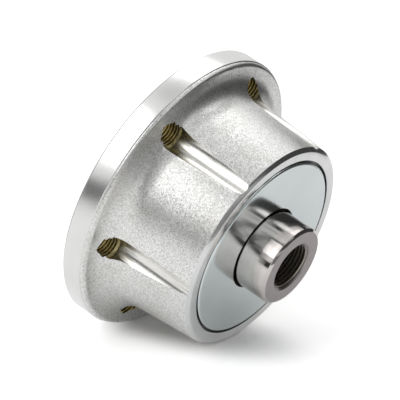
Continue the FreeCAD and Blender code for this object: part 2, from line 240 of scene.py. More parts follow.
@dataclass(frozen=True)
class Finish:
    """One real finish, with the node material that shows it."""

    name: str
    colour: str
    metallic: float = 1.0
    roughness: float = 0.3
    grain: Grain | None = None
    facets: Facets | None = None
    lines: ToolLines | None = None
    clouding: Clouding | None = None
    smear: Smear | None = None
    ior: float = 1.5

    def material(self) -> bpy.types.Material:
        """Gives this finish's material, made once.

        Returns:
            The material, shared by all surfaces with this finish.
        """
        made = bpy.data.materials.get(self.name)
        if made:
            return made
        material, tree = new_tree(self.name)
        place = add(tree, "TexCoord").outputs["Object"]
        colour: Any = linear(self.colour)
        roughness: Any = self.roughness
        heights: list[tuple[Socket, float]] = []
        if self.grain:
            spots = self._spots(tree, place)
            heights.append((spots, self.grain.depth))
            if self.grain.contrast:
                colour = self._shaded(tree, colour, spots, self.grain.contrast)
        inputs: dict[str, Any] = {}
        if self.facets:
            colour, inputs["Normal"] = self._faceted(tree, place, colour)
        if self.lines:
            ridges = self._ridges(tree, place)
            heights.append((ridges, self.lines.depth))
            if self.lines.contrast:
                colour = self._shaded(tree, colour, ridges, self.lines.contrast)
        if self.clouding:
            colour, roughness = self._clouded(tree, place, colour)
        if self.smear:
            colour = self._smeared(tree, place, colour)
        inputs |= {"Base Color": colour, "Roughness": roughness, "Metallic": self.metallic}
        if self.metallic < 1:
            inputs["IOR"] = self.ior
        for height, depth in heights:
            bumped = {"Height": height, "Distance": depth * MM, "Strength": 1.0}
            if "Normal" in inputs:
                bumped["Normal"] = inputs["Normal"]
            inputs["Normal"] = add(tree, "Bump", bumped).outputs["Normal"]
        shader = add(tree, "BsdfPrincipled", inputs)
        add(tree, "OutputMaterial", {"Surface": shader.outputs["BSDF"]})
        return material

    def _spots(self, tree: Tree, place: Socket) -> Socket:
        """Gives the pattern of the grain.

        Args:
            tree: the material's tree.
            place: object coordinates.

        Returns:
            Pattern from 0 to 1.
        """
        grain = self.grain
        settings = {"Scale": 1 / (grain.size * MM), "Detail": grain.detail, "Roughness": grain.fineness}
        return add(tree, "TexNoise", {"Vector": place, **settings}).outputs["Fac"]

    def _faceted(self, tree: Tree, place: Socket, colour: Any) -> tuple[Socket, Socket]:
        """Tints the facets one by one and tilts their normals.

        Args:
            tree: the material's tree.
            place: object coordinates.
            colour: colour or socket to change.

        Returns:
            The changed colour and the normals.
        """
        cells = add(tree, "TexVoronoi", {"Vector": place, "Scale": 1 / (self.facets.size * MM)})
        tint = cells.outputs["Color"]
        centred = add(tree, "VectorMath", {0: tint, 1: (0.5, 0.5, 0.5)}, operation="SUBTRACT")
        tilt = {0: centred.outputs["Vector"], "Scale": self.facets.tilt}
        tilted = add(tree, "VectorMath", tilt, operation="SCALE")
        upright = add(tree, "NewGeometry").outputs["Normal"]
        leaning = add(tree, "VectorMath", {0: upright, 1: tilted.outputs["Vector"]}, operation="ADD")
        normal = add(tree, "VectorMath", {0: leaning.outputs["Vector"]}, operation="NORMALIZE")
        grey = add(tree, "SeparateXYZ", {0: tint}).outputs["X"]
        return self._shaded(tree, colour, grey, self.facets.contrast), normal.outputs["Vector"]

    def _ridges(self, tree: Tree, place: Socket) -> Socket:
        """Gives the pattern of the tool's lines.

        Args:
            tree: the material's tree.
            place: object coordinates.

        Returns:
            Pattern from 0 to 1.
        """
        lines = self.lines
        scale = math.tau / (WAVE_RADIANS * lines.spacing * MM)
        waver = {"Distortion": lines.waver, "Detail": lines.waver_detail, "Detail Scale": lines.waver_scale}
        settings = {"wave_type": lines.way.value, "bands_direction": "Z", "rings_direction": "Z"}
        return add(tree, "TexWave", {"Vector": place, "Scale": scale, **waver}, **settings).outputs["Fac"]

    @staticmethod
    def _shaded(tree: Tree, colour: Any, pattern: Socket, contrast: float) -> Socket:
        """Darkens and lightens a colour by a pattern.

        Args:
            tree: the material's tree.
            colour: colour or socket to change.
            pattern: pattern from 0 to 1.
            contrast: share of the colour that the pattern takes and gives.

        Returns:
            The changed colour.
        """
        low, high = PATTERN_ENDS
        ends = {"From Min": low, "From Max": high, "To Min": 1 - contrast, "To Max": 1 + contrast}
        factor = add(tree, "MapRange", {"Value": pattern, **ends}).outputs["Result"]
        plain = colour if isinstance(colour, bpy.types.NodeSocket) else colour[:3]
        return add(tree, "VectorMath", {0: plain, 1: factor}, operation="MULTIPLY").outputs["Vector"]

    def _clouded(self, tree: Tree, place: Socket, colour: Any) -> tuple[Socket, Any]:
        """Mixes a second colour and roughness in, in slow clouds.

        Args:
            tree: the material's tree.
            place: object coordinates.
            colour: colour or socket to change.

        Returns:
            The changed colour, and the roughness as a number or a socket.
        """
        clouding = self.clouding
        settings = {"Detail": clouding.detail, "Roughness": clouding.fineness}
        noise = add(tree, "TexNoise", {"Vector": place, "Scale": 1 / (clouding.size * MM), **settings})
        low, high = clouding.ends
        ends = {"Value": noise.outputs["Fac"], "From Min": low, "From Max": high}
        amount = add(tree, "MapRange", ends | {"To Max": clouding.amount}).outputs["Result"]
        mixed = self._mix(tree, amount, colour, linear(clouding.colour))
        if not clouding.roughness_change:
            return mixed, self.roughness
        rougher = self.roughness + clouding.roughness_change
        rough = add(tree, "MapRange", ends | {"To Min": self.roughness, "To Max": rougher})
        return mixed, rough.outputs["Result"]

    def _smeared(self, tree: Tree, place: Socket, colour: Any) -> Socket:
        """Mixes the oil's colour in, in streaks along the axis.

        Args:
            tree: the material's tree.
            place: object coordinates.
            colour: colour or socket to change.

        Returns:
            The changed colour.
        """
        smear = self.smear
        height = add(tree, "SeparateXYZ", {0: place}).outputs["Z"]
        ends = {"From Min": smear.thick * MM, "From Max": smear.gone * MM}
        ends |= {"To Min": smear.thickness, "To Max": 0.0}
        thickness = add(tree, "MapRange", {"Value": height, **ends}).outputs["Result"]
        drawn = add(tree, "Mapping", {"Vector": place, "Scale": (1.0, 1.0, smear.shortening)})
        settings = {"Scale": 1 / (smear.width * MM), "Detail": smear.detail}
        streaks = add(tree, "TexNoise", {"Vector": drawn.outputs["Vector"], **settings}).outputs["Fac"]
        amount = add(tree, "Math", {0: thickness, 1: streaks}, operation="ADD").outputs[0]
        low, high = smear.ends
        ends = {"From Min": low, "From Max": high, "To Max": smear.amount}
        amount = add(tree, "MapRange", {"Value": amount, **ends}).outputs["Result"]
        return self._mix(tree, amount, colour, linear(smear.colour))

    @staticmethod
    def _mix(tree: Tree, amount: Socket, first: Any, second: Any) -> Socket:
        """Mixes two colours, the second by the amount."""
        mix = add(tree, "MixRGB", {"Fac": amount, "Color1": first, "Color2": second})
        return mix.outputs["Color"]


# The lines of lathe and grinding wheel are really a tenth of a millimetre apart or less. Here they
# are drawn 0.3 to 0.5 mm apart, so that they show.

# Cast iron, blasted with steel shot: bright, with a sparkling grain of small hollows, drawn a little
# coarser than shot leaves them, so that it shows.
SHOT_BLASTED_IRON = Finish(
    "shot_blasted_cast_iron",
    "#f0f0ee",
    roughness=0.34,
    grain=Grain(size=0.19, depth=0.008, contrast=0.2),
    facets=Facets(size=0.29, tilt=0.11, contrast=0.27),
    clouding=Clouding(size=16, colour="#cccac4", amount=0.4),
)
# The rim, turned bright after blasting: fine rings that stretch reflections across them.
TURNED_RIM = Finish(
    "turned_bright_rim",
    "#eeefed",
    roughness=0.2,
    lines=ToolLines(spacing=0.35, depth=0.002, way=Way.ALONG_AXIS, contrast=0.03),
    clouding=Clouding(size=30, colour="#dadbda", amount=0.5, roughness_change=0.06),
)
# Faces turned on the lathe: rings round the axis.
FACED_IRON = Finish(
    "faced_iron",
    "#eff0ef",
    roughness=0.16,
    lines=ToolLines(spacing=0.4, depth=0.003, contrast=0.05),
    clouding=Clouding(size=20, colour="#d6d8d8", amount=0.5, roughness_change=0.08),
)
# Bores and pockets, dull from the boring tool, and the back edge's chamfer: much darker than the faced
# iron, as painted shade in the recesses and a painted dark line along the back edge.
SHADED_BORED_IRON = Finish(
    "bored_iron_painted_shade",
    "#77787a",
    roughness=0.35,
    lines=ToolLines(spacing=0.5, depth=0.004, way=Way.ALONG_AXIS, contrast=0.08),
)
# The run-out of the clearance drill along the body: bright, drawn lengthwise.
DRILLED_IRON = Finish(
    "drilled_bright_iron",
    "#efeeea",
    roughness=0.24,
    grain=Grain(size=0.9, depth=0.01, contrast=0.06),
    smear=Smear(thick=14.0, gone=24.0, colour="#77745f", amount=0.75),
)
# Cut threads with cutting oil left in them, yellowish olive.
OILED_THREAD = Finish(
    "oiled_tapped_thread",
    "#d0c291",
    roughness=0.22,
    grain=Grain(size=0.5, depth=0.01, contrast=0.2),
    clouding=Clouding(size=4, colour="#857a4b", amount=0.5),
)
# Crests of the cut threads, coloured near white as a painted highlight along each crest.
THREAD_CREST = Finish("bright_thread_crest", "#fff7cf", roughness=0.4, grain=Grain(size=0.5, depth=0.004))
# Roots of the cut threads and the shaft's relief groove, coloured near black as painted shade in the
# grooves.
THREAD_ROOT_SHADE = Finish("thread_root_painted_shade", "#3a3320", metallic=0.4, roughness=0.5)
# Countersunk mouths of the tapped holes, bright.
COUNTERSUNK = Finish("countersunk_iron", "#d8d7cc", roughness=0.25, grain=Grain(size=0.6, depth=0.004))
# Pressed steel, zinc plated: smooth, with a slight cyan tint.
ZINC_PLATED = Finish(
    "zinc_plated_pressing",
    "#e1e8e8",
    roughness=0.14,
    grain=Grain(size=0.6, depth=0.0006),
    clouding=Clouding(size=22, colour="#d3dadb", amount=0.5, roughness_change=0.04),
)
# Ground and hardened shaft steel, with fine rings from the wheel.
GROUND_STEEL = Finish(
    "ground_shaft_steel",
    "#dcd7d4",
    roughness=0.04,
    lines=ToolLines(spacing=0.3, depth=0.005, way=Way.ALONG_AXIS, contrast=0.05),
    clouding=Clouding(size=12, colour="#b4afac", amount=0.4, roughness_change=0.03),
)
# The shaft's turned end face, a little pink from the heat of the cut, and coloured much darker than the
# ground steel, as painted shade on the end face.
TURNED_END = Finish(
    "turned_shaft_end",
    "#a8a1a1",
    roughness=0.3,
    lines=ToolLines(spacing=0.3, depth=0.003, contrast=0.06),
)
# Crests of the thread in the shaft, coloured bright as a painted highlight along each crest.
SHAFT_CREST = Finish("shaft_thread_crest", "#e6e2da", roughness=0.25, grain=Grain(size=0.5, depth=0.003))
# The tapped bore of the shaft, coloured darker than the ground steel, as painted shade in the bore.
DARK_THREAD = Finish(
    "dark_tapped_thread",
    "#a39d94",
    roughness=0.28,
    grain=Grain(size=0.6, depth=0.006, contrast=0.15),
)
# Through-hardened bearing steel, honed and lapped.
RACE_STEEL = Finish(
    "honed_bearing_steel",
    "#c3c6ca",
    roughness=0.12,
    lines=ToolLines(spacing=0.3, depth=0.0008, way=Way.ALONG_AXIS, contrast=0.03),
)
# Lapped balls, close to a mirror.
LAPPED_BALL = Finish("lapped_ball_steel", "#cfd2d6", roughness=0.05, grain=Grain(size=3, depth=0.0005))
# Spring steel with a black phosphate coat, oiled.
PHOSPHATED = Finish(
    "phosphated_spring_steel",
    "#34353a",
    metallic=0.6,
    roughness=0.45,
    grain=Grain(size=0.5, depth=0.01, contrast=0.2),
)
# Glass-filled nylon, moulded, cream and slightly glossy.
MOULDED_NYLON = Finish(
    "moulded_cage_nylon",
    "#d9cda4",
    metallic=0.0,
    roughness=0.45,
    ior=1.53,
    grain=Grain(size=0.7, depth=0.01, contrast=0.04),
)
# Nitrile rubber, moulded, black with a dull sheen.
NITRILE_RUBBER = Finish(
    "moulded_nitrile_rubber",
    "#1d1d1f",
    metallic=0.0,
    roughness=0.55,
    ior=1.52,
    grain=Grain(size=0.6, depth=0.01, contrast=0.1),
)


@dataclass(frozen=True)
class Corner:
    """A corner of a half section: radius and height in millimetres, with its fillet."""

    radius: float
    height: float
    fillet: float = 0.0


class Turned:
    """A solid of revolution round the hub's axis, from the corners of its half section."""

    def __init__(self, corners: list[Corner], steps: int = ROUND_STEPS) -> None:
        """Draws the section, rounds its corners and spins it.

        Args:
            corners: corners of the closed half section, in order.
            steps: number of flats round the full turn.
        """
        self.mesh = bmesh.new()
        points = [self.mesh.verts.new((c.radius, 0, c.height)) for c in corners]
        self.mesh.faces.new(points)
        for point, corner in zip(points, corners):
            if corner.fillet:
                self._round(point, corner.fillet)
        bmesh.ops.delete(self.mesh, geom=self.mesh.faces[:], context="FACES_ONLY")
        bmesh.ops.spin(
            self.mesh,
            geom=self.mesh.verts[:] + self.mesh.edges[:],
            cent=(0, 0, 0),
            axis=AXIS,
            angle=math.tau,
            steps=steps,
            use_merge=True,
            use_duplicate=False,
        )
        bmesh.ops.remove_doubles(self.mesh, verts=self.mesh.verts[:], dist=MERGE)
        bmesh.ops.recalc_face_normals(self.mesh, faces=self.mesh.faces[:])

    def _round(self, point: bmesh.types.BMVert, fillet: float) -> None:
        """Rounds one corner of the section.

        Args:
            point: the corner.
            fillet: radius that it gets.
        """
        first, second = (edge.other_vert(point).co - point.co for edge in point.link_edges)
        angle = first.angle(second)
        bmesh.ops.bevel(
            self.mesh,
            geom=[point],
            offset=fillet / math.tan(angle / 2),
            offset_type="OFFSET",
            segments=max(FILLET_STEPS_LEAST, round(math.degrees(math.pi - angle) / FILLET_DEGREES)),
            profile=0.5,
            affect="VERTICES",
            material=-1,
        )


class Screw:
    """A cutter with the form of a metric thread, for a tapped hole."""

    STEPS = 40
    MERGE_SHARE = 0.1
    # Shares of the pitch.
    FLANK = 5 / 16
    CREST = 1 / 4
    ROOT = 1 / 8
    # Shares of the depth at which the crest's painted highlight ends and the root's painted shade starts.
    CREST_END = 0.2
    ROOT_START = 0.8

    def __init__(self, minor: float, major: float, pitch: float, low: float, high: float) -> None:
        """Spins the thread's zigzag along a helix and closes both ends.

        Args:
            minor: radius at the crests of the tapped hole.
            major: radius at its roots.
            pitch: rise in one turn.
            low: height of the cutter's lower end.
            high: height of its upper end.
        """
        self.mesh = bmesh.new()
        turns = math.ceil((high - low) / pitch) + 2
        run = [(minor, 0.0), (minor, self.CREST)]
        run += [(major, self.CREST + self.FLANK), (major, self.CREST + self.FLANK + self.ROOT)]
        start = low - pitch
        points = [(radius, start + (turn + rise) * pitch) for turn in range(turns) for radius, rise in run]
        points.append((minor, start + turns * pitch))
        line = [self.mesh.verts.new((radius, 0, height)) for radius, height in points]
        edges = [self.mesh.edges.new(pair) for pair in zip(line, line[1:])]
        bmesh.ops.spin(
            self.mesh,
            geom=line + edges,
            cent=(0, 0, 0),
            axis=AXIS,
            dvec=(0, 0, pitch / self.STEPS),
            angle=math.tau,
            steps=self.STEPS,
            use_duplicate=False,
        )
        merge = pitch / self.STEPS * self.MERGE_SHARE
        bmesh.ops.remove_doubles(self.mesh, verts=self.mesh.verts[:], dist=merge)
        for height, side in ((low, -1), (high, 1)):
            bmesh.ops.bisect_plane(
                self.mesh,
                geom=self.mesh.verts[:] + self.mesh.edges[:] + self.mesh.faces[:],
                plane_co=(0, 0, height),
                plane_no=(0, 0, side),
                clear_outer=True,
            )
        open_edges = [edge for edge in self.mesh.edges if edge.is_boundary]
        bmesh.ops.holes_fill(self.mesh, edges=open_edges, sides=0)
        bmesh.ops.recalc_face_normals(self.mesh, faces=self.mesh.faces[:])
        paint(self.mesh, lambda middle, normal: self._part(math.hypot(middle.x, middle.y), minor, major))

    def _part(self, radius: float, minor: float, major: float) -> ThreadFace:
        """Tells crest, flank and root apart by their radius, so that crests get a painted highlight and
        roots painted shade.

        Args:
            radius: radius of the face's middle.
            minor: radius at the crests.
            major: radius at the roots.

        Returns:
            The surface that the face belongs to.
        """
        share = (radius - minor) / (major - minor)
        if share < self.CREST_END:
            return ThreadFace.CREST
        return ThreadFace.FLANK if share < self.ROOT_START else ThreadFace.ROOT


def paint(mesh: bmesh.types.BMesh, choose: Callable[[Vector, Vector], int]) -> None:
    """Gives each face its material number.

    Args:
        mesh: mesh in millimetres.
        choose: function from a face's middle and normal to the number.
    """
    for face in mesh.faces:
        face.material_index = choose(face.calc_center_median(), face.normal)


def link_object(name: str, mesh: bmesh.types.BMesh, materials: list[Any]) -> bpy.types.Object:
    """Makes an object in the scene from a mesh in metres.

    Args:
        name: name of the object.
        mesh: its mesh, which is used up.
        materials: its materials, by number.

    Returns:
        The object, at the origin.
    """
    data = bpy.data.meshes.new(name)
    mesh.to_mesh(data)
    mesh.free()
    for material in materials:
        data.materials.append(material)
    made = bpy.data.objects.new(name, data)
    bpy.context.scene.collection.objects.link(made)
    return made


def make_object(name: str, mesh: bmesh.types.BMesh, finishes: list[Finish]) -> bpy.types.Object:
    """Makes an object in metres from a mesh in millimetres.

    Args:
        name: name of the piece.
        mesh: its mesh, which is used up.
        finishes: finish of each material number.

    Returns:
        The object, at the origin, with its place in its mesh.
    """
    bmesh.ops.scale(mesh, vec=(MM, MM, MM), verts=mesh.verts[:])
    return link_object(name, mesh, [finish.material() for finish in finishes])


def copies_round(mesh: bmesh.types.BMesh, radius: float, count: int) -> bmesh.types.BMesh:
    """Sets a cutter off from the axis and repeats it round the axis.

    Args:
        mesh: cutter on the axis.
        radius: distance to set it off.
        count: number of copies.

    Returns:
        One mesh with all the copies.
    """
    bmesh.ops.translate(mesh, vec=(radius, 0, 0), verts=mesh.verts[:])
    bmesh.ops.spin(
        mesh,
        geom=mesh.verts[:] + mesh.edges[:] + mesh.faces[:],
        cent=(0, 0, 0),
        axis=AXIS,
        angle=math.tau * (count - 1) / count,
        steps=count - 1,
        use_duplicate=True,
    )
    return mesh


def cut(piece: bpy.types.Object, cutters: list[bpy.types.Object]) -> bpy.types.Object:
    """Cuts a piece by cutters whose materials stay on the cut faces, and removes the cutters.

    Args:
        piece: piece to cut.
        cutters: closed meshes to take away.

    Returns:
        The cut piece.
    """
    for cutter in cutters:
        step = piece.modifiers.new(cutter.name, "BOOLEAN")
        step.operation = "DIFFERENCE"
        step.solver = "EXACT"
        step.material_mode = "TRANSFER"
        step.object = cutter
    graph = bpy.context.evaluated_depsgraph_get()
    result = bpy.data.meshes.new_from_object(piece.evaluated_get(graph))
    piece.modifiers.clear()
    piece.data = result
    for cutter in cutters:
        bpy.data.objects.remove(cutter)
    return piece


def smooth(piece: bpy.types.Object) -> None:
    """Shades a piece smoothly, with its sharp edges kept."""
    piece.data.shade_smooth()
    piece.data.set_sharp_from_angle(angle=SHARP_ANGLE)


def settle(piece: bpy.types.Object, body: Body, slot: Slot, *nodes: str) -> None:
    """Puts a piece on its body, in place of its CAD nodes, and reports it.

    Args:
        piece: finished piece.
        body: body that it rides on.
        slot: material slot named for the piece; not used.
        nodes: CAD nodes that it stands for.
    """
    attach(piece, body.value)
    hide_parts(*nodes)
    log.info("%s: %d faces", piece.name, len(piece.data.polygons))


@dataclass
class Housing:
    """The cast housing, with its machined faces, seats, flutes and tapped bolt holes. Millimetres."""

    flange_radius: float = 58.5
    rim_height: float = 8.7
    back_edge: float = 0.6
    flange_corner: float = 2.0
    flange_face: float = 10.7
    blend: float = 10.0
    draft: float = math.radians(5.0)
    nose_radius: float = 43.5
    nose_edge: float = 48.4
    nose_face_radius: float = 41.9
    length: float = 49.6
    shield_pocket: tuple[float, float] = (38.2, 47.8)
    seat_radius: float = 36.0
    seal_floor: float = 41.5
    bearing: tuple[float, float] = (12.0, 40.0)
    web_radius: float = 29.0
    circlip_radius: float = 37.5
    circlip_low: float = 9.4
    cap: tuple[float, float] = (38.0, 7.4)
    mouth: float = 0.5
    edge: float = 0.25
    fine_edge: float = 0.15
    turned_edge: float = 0.3
    rim_step: tuple[float, float] = (0.35, 0.3)
    rim_shoulder: float = 0.5
    corner_less: float = 0.4
    bolt_circle: float = 48.2
    bolt_count: int = 6
    tap_drill: float = 4.375
    thread_major: float = 5.0
    pitch: float = 1.25
    hole_end: float = 13.6
    hole_chamfer: float = 1.0
    flute: float = 5.25
    drill_point: float = math.radians(59)
    # How far the cutters reach past what they open, and how far the drill stays off the thread.
    drill_start: float = 0.5
    drill_past: float = 4.0
    drill_off: float = 0.02
    sink_start: float = 0.5
    sink_past: float = 0.3
    tap_start: float = 1.0
    tap_past: float = 0.25
    # Where the rim's finish ends, and how far inside the nose's radius a face counts as bored.
    rim_inside: float = 0.7
    rim_above: float = 0.2
    bore_inside: float = 2.0
    # How far the normals of a pocket's wall and of a bore point inwards, at least.
    pocket_inward: float = 0.9
    bore_inward: float = 0.5

    def section(self) -> list[Corner]:
        """Gives the half section's corners, from the disc face outwards and round.

        Returns:
            The corners, in order.
        """
        foot = self.nose_radius + (self.nose_edge - self.flange_face) * math.tan(self.draft)
        bearing_low, bearing_high = self.bearing
        pocket_radius, pocket_floor = self.shield_pocket
        cap_radius, cap_depth = self.cap
        step_in, step_up = self.rim_step
        corner = self.flange_corner - self.corner_less
        return [
            Corner(self.flange_radius - self.back_edge, 0, self.fine_edge),
            Corner(self.flange_radius, self.back_edge, self.fine_edge),
            Corner(self.flange_radius, self.rim_height, self.turned_edge),
            Corner(self.flange_radius - step_in, self.rim_height + step_up),
            Corner(self.flange_radius - self.rim_shoulder, self.flange_face, corner),
            Corner(foot, self.flange_face, self.blend),
            Corner(self.nose_radius, self.nose_edge, self.turned_edge),
            Corner(self.nose_face_radius, self.length, self.turned_edge),
            Corner(pocket_radius, self.length, self.edge),
            Corner(pocket_radius, pocket_floor),
            Corner(self.seat_radius, pocket_floor),
            Corner(self.seat_radius, self.seal_floor),
            Corner(self.web_radius, self.seal_floor),
            Corner(self.web_radius, bearing_high),
            Corner(self.seat_radius, bearing_high),
            Corner(self.seat_radius, bearing_low),
            Corner(self.circlip_radius, bearing_low),
            Corner(self.circlip_radius, self.circlip_low),
            Corner(self.seat_radius, self.circlip_low),
            Corner(self.seat_radius, cap_depth),
            Corner(cap_radius, cap_depth),
            Corner(cap_radius, self.mouth),
            Corner(cap_radius + self.mouth, 0),
        ]

    def finish_number(self, middle: Vector, normal: Vector) -> HousingFace:
        """Chooses the surface that a face belongs to.

        Args:
            middle: the face's middle.
            normal: its normal.

        Returns:
            The surface.
        """
        radius = math.hypot(middle.x, middle.y)
        outward = (normal.x * middle.x + normal.y * middle.y) / radius
        # The back edge's chamfer takes the dark bored finish: a painted dark line along the edge.
        if middle.z < self.back_edge and radius > self.flange_radius - self.back_edge:
            return HousingFace.BORED
        if middle.z < NEAR or middle.z > self.nose_edge and outward > -self.pocket_inward:
            return HousingFace.FACED
        if radius > self.flange_radius - self.rim_inside and middle.z < self.rim_height + self.rim_above:
            return HousingFace.RIM
        inside = outward < -self.bore_inward or radius < self.nose_radius - self.bore_inside
        return HousingFace.BORED if inside or middle.z < self.rim_height else HousingFace.BLASTED

    def cutters(self) -> list[bpy.types.Object]:
        """Makes the drills, the countersinks and the taps of all bolt holes.

        Returns:
            The three cutters, each with the copies for all holes.
        """
        point_high = self.hole_end + (self.flute - self.tap_drill) / math.tan(self.drill_point)
        drill_low, drill_high = self.hole_end - self.drill_start, self.length + self.drill_past
        drill_tip = self.tap_drill - self.drill_off
        drill = Turned(
            [
                Corner(0, drill_low),
                Corner(drill_tip, drill_low),
                Corner(drill_tip, self.hole_end),
                Corner(self.flute, point_high),
                Corner(self.flute, drill_high),
                Corner(0, drill_high),
            ],
            DRILL_STEPS,
        ).mesh
        paint(drill, lambda middle, normal: DrillFace.POINT if middle.z < point_high else DrillFace.FLUTE)
        sink_high = self.hole_chamfer + self.sink_past
        sink = Turned(
            [
                Corner(0, -self.sink_start),
                Corner(self.tap_drill + self.hole_chamfer + self.sink_start, -self.sink_start),
                Corner(self.tap_drill - self.sink_past, sink_high),
                Corner(0, sink_high),
            ],
            DRILL_STEPS,
        ).mesh
        tap_high = self.hole_end + self.tap_past
        tap = Screw(self.tap_drill, self.thread_major, self.pitch, -self.tap_start, tap_high).mesh
        made = []
        for name, mesh, finishes in (
            ("drills", drill, [DRILLED_IRON, OILED_THREAD]),
            ("countersinks", sink, [COUNTERSUNK]),
            ("taps", tap, [THREAD_CREST, OILED_THREAD, THREAD_ROOT_SHADE]),
        ):
            made.append(make_object(name, copies_round(mesh, self.bolt_circle, self.bolt_count), finishes))
        return made

    def build(self) -> None:
        """Turns, drills and taps the housing."""
        mesh = Turned(self.section()).mesh
        paint(mesh, self.finish_number)
        piece = make_object("hub_housing", mesh, [SHOT_BLASTED_IRON, TURNED_RIM, FACED_IRON, SHADED_BORED_IRON])
        cut(piece, self.cutters())
        smooth(piece)
        settle(piece, Body.HUB, Slot.IRON, "housing")


@dataclass
class Shaft:
    """The stub shaft: nut thread, bearing seat, seal shoulder and ground stub. Millimetres."""

    low: float = 3.4
    nut_thread: float = 15.0
    nut_chamfer: float = 0.8
    seat: float = 17.5
    seat_low: float = 12.6
    seat_high: float = 40.0
    shoulder: float = 21.0
    shield_seat: float = 48.4
    relief: float = 16.1
    relief_outside: float = 17.4
    relief_low: float = 47.2
    relief_end: float = 49.1
    stub: float = 16.5
    end: float = 64.0
    end_chamfer: float = 1.0
    tap_drill: float = 9.25
    thread_major: float = 10.0
    pitch: float = 1.5
    tap_depth: float = 35.0
    thread_depth: float = 30.0
    mouth: float = 1.15
    drill_point: float = math.radians(59)
    keyway_half: float = 2.1
    keyway_floor: float = 13.5
    keyway_high: float = 12.0
    nut_edge: float = 0.1
    turned_edge: float = 0.3
    shoulder_edge: float = 0.2
    stub_edge: float = 0.15
    end_edge: float = 0.25
    mouth_edge: float = 0.12
    # How far the cutters reach past the ends.
    cutter_past: float = 1.0
    # How far from the bore's wall, its floor and the recess a face still counts as theirs.
    bore_margin: float = 0.05
    floor_margin: float = 1.0
    relief_margin: float = 0.1

    def section(self) -> list[Corner]:
        """Gives the half section's corners, from the nut's end to the tapped end.

        Returns:
            The corners, in order.
        """
        floor = self.end - self.tap_depth
        return [
            Corner(0, self.low),
            Corner(self.nut_thread - self.nut_chamfer, self.low, self.nut_edge),
            Corner(self.nut_thread, self.low + self.nut_chamfer, self.nut_edge),
            Corner(self.nut_thread, self.seat_low),
            Corner(self.seat, self.seat_low, self.turned_edge),
            Corner(self.seat, self.seat_high),
            Corner(self.shoulder, self.seat_high, self.turned_edge),
            Corner(self.shoulder, self.shield_seat, self.shoulder_edge),
            Corner(self.relief_outside, self.shield_seat),
            Corner(self.relief_outside, self.relief_low),
            Corner(self.relief, self.relief_low, self.turned_edge),
            Corner(self.relief, self.relief_end),
            Corner(self.stub, self.relief_end + self.stub - self.relief, self.stub_edge),
            Corner(self.stub, self.end - self.end_chamfer, self.turned_edge),
            Corner(self.stub - self.end_chamfer, self.end, self.end_edge),
            Corner(self.tap_drill + self.mouth, self.end, self.mouth_edge),
            Corner(self.tap_drill, self.end - self.mouth),
            Corner(self.tap_drill, floor),
            Corner(0, floor - self.tap_drill / math.tan(self.drill_point)),
        ]

    def finish_number(self, middle: Vector, normal: Vector) -> ShaftFace:
        """Chooses the surface that a face belongs to.

        Args:
            middle: the face's middle.
            normal: its normal.

        Returns:
            The surface.
        """
        radius = math.hypot(middle.x, middle.y)
        if middle.z > self.end - self.mouth and radius < self.stub - self.end_chamfer:
            return ShaftFace.TURNED_END
        if radius < self.tap_drill + self.bore_margin and middle.z > self.low + self.floor_margin:
            return ShaftFace.TAPPED
        # The relief groove gets the thread roots' near-black finish, as painted shade in the groove.
        in_relief = self.relief_low - self.relief_margin < middle.z < self.relief_end
        if in_relief and radius < self.relief_outside + self.relief_margin:
            return ShaftFace.RELIEF
        return ShaftFace.GROUND

    def build(self) -> None:
        """Turns, slots and taps the shaft."""
        mesh = Turned(self.section()).mesh
        paint(mesh, self.finish_number)
        piece = make_object("stub_shaft", mesh, [GROUND_STEEL, TURNED_END, DARK_THREAD, THREAD_ROOT_SHADE])
        low, high = self.end - self.thread_depth, self.end + self.cutter_past
        tap = Screw(self.tap_drill, self.thread_major, self.pitch, low, high)
        cutters = [make_object("shaft_tap", tap.mesh, [SHAFT_CREST, DARK_THREAD, THREAD_ROOT_SHADE])]
        slot = bmesh.new()
        bmesh.ops.create_cube(slot, size=1)
        height = self.keyway_high - self.low + self.cutter_past
        size = (2 * self.keyway_half, self.seat - self.keyway_floor, height)
        bmesh.ops.scale(slot, vec=size, verts=slot.verts[:])
        middle = (0, (self.seat + self.keyway_floor) / 2, self.keyway_high - height / 2)
        bmesh.ops.translate(slot, vec=middle, verts=slot.verts[:])
        cutters.append(make_object("keyway_cutter", slot, [GROUND_STEEL]))
        cut(piece, cutters)
        smooth(piece)
        settle(piece, Body.AXLE, Slot.GROUND, "shaft")


@dataclass
class Shield:
    """The plated shield in the nose, which turns with the shaft. Millimetres."""

    hole: float = 17.4
    radius: float = 37.3
    seat: float = 48.4
    top: float = 49.9
    skirt_low: float = 48.1
    skirt_inside: float = 35.8
    edge: float = 0.9
    skirt_edge: float = 0.15
    hole_edge: float = 0.2

    def section(self) -> list[Corner]:
        """Gives the half section's corners, from the hole outwards and round.

        Returns:
            The corners, in order.
        """
        return [
            Corner(self.hole, self.seat),
            Corner(self.skirt_inside, self.seat),
            Corner(self.skirt_inside, self.skirt_low),
            Corner(self.radius, self.skirt_low, self.skirt_edge),
            Corner(self.radius, self.top, self.edge),
            Corner(self.hole, self.top, self.hole_edge),
        ]

    def build(self) -> None:
        """Presses the shield."""
        piece = make_object("nose_shield", Turned(self.section()).mesh, [ZINC_PLATED])
        smooth(piece)
        settle(piece, Body.AXLE, Slot.PLATED, "seal_shield")


@dataclass
class EndCap:
    """The pressed cap in the back of the housing. Millimetres."""

    radius: float = 37.98
    low: float = 0.6
    wall: float = 1.5
    skirt_high: float = 5.4
    corner: float = 2.0
    skirt_edge: float = 0.2

    def section(self) -> list[Corner]:
        """Gives the half section's corners, from the middle of the outer face.

        Returns:
            The corners, in order.
        """
        inside = self.radius - self.wall
        return [
            Corner(0, self.low),
            Corner(self.radius, self.low, self.corner),
            Corner(self.radius, self.skirt_high, self.skirt_edge),
            Corner(inside, self.skirt_high, self.skirt_edge),
            Corner(inside, self.low + self.wall, self.corner - self.wall),
            Corner(0, self.low + self.wall),
        ]

    def build(self) -> None:
        """Presses the cap."""
        piece = make_object("back_cap", Turned(self.section()).mesh, [ZINC_PLATED])
        smooth(piece)
        settle(piece, Body.HUB, Slot.PLATED, "end_cap")


